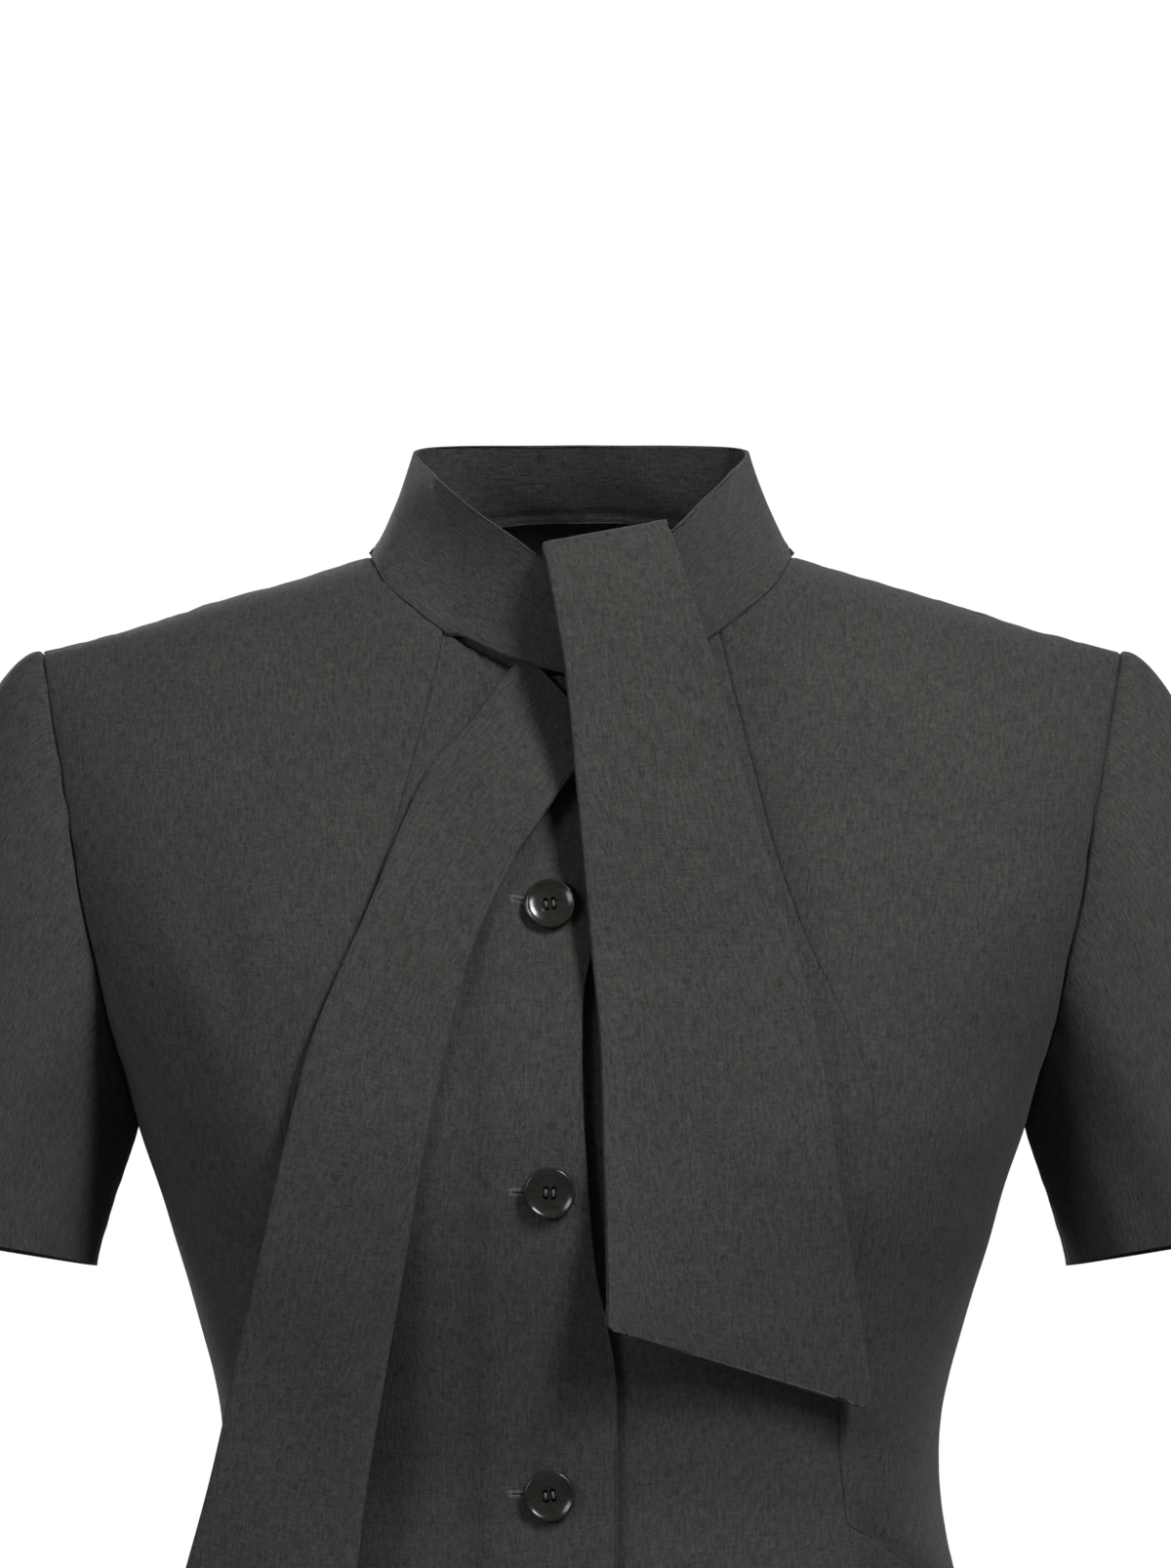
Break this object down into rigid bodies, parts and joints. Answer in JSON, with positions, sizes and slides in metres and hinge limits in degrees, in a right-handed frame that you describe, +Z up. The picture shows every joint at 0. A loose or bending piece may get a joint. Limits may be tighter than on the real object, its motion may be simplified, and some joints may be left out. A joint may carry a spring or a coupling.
{
  "type": "tie-neck jacket",
  "caption": "Short-sleeved fitted jacket in worn form, with a stand collar whose tie ends cross at the throat, a buttoned front, princess seams and slanted pockets.",
  "frame": {"origin": "midway between the side-neck points, where the wearer's shoulders hold the jacket", "axes": "+Z up, the front faces -Y, +X to the viewer's right when seen from the front, which is the wearer's left"},
  "size_m": [0.5944, 0.252, 0.6096],
  "materials": {
    "suiting": "matte worsted suiting, charcoal",
    "button": "glossy near-black"
  },
  "bodies": {
    "root": {"front_right": "suiting", "front_left": "suiting", "side_front_right": "suiting", "side_front_left": "suiting", "back_right": "suiting", "back_left": "suiting", "sleeve_right": "suiting", "sleeve_left": "suiting", "collar_band": "suiting", "tie_end_over": "suiting", "tie_end_under": "suiting", "button_top": "button", "button_middle": "button", "button_bottom": "button"}
  },
  "joints": []
}
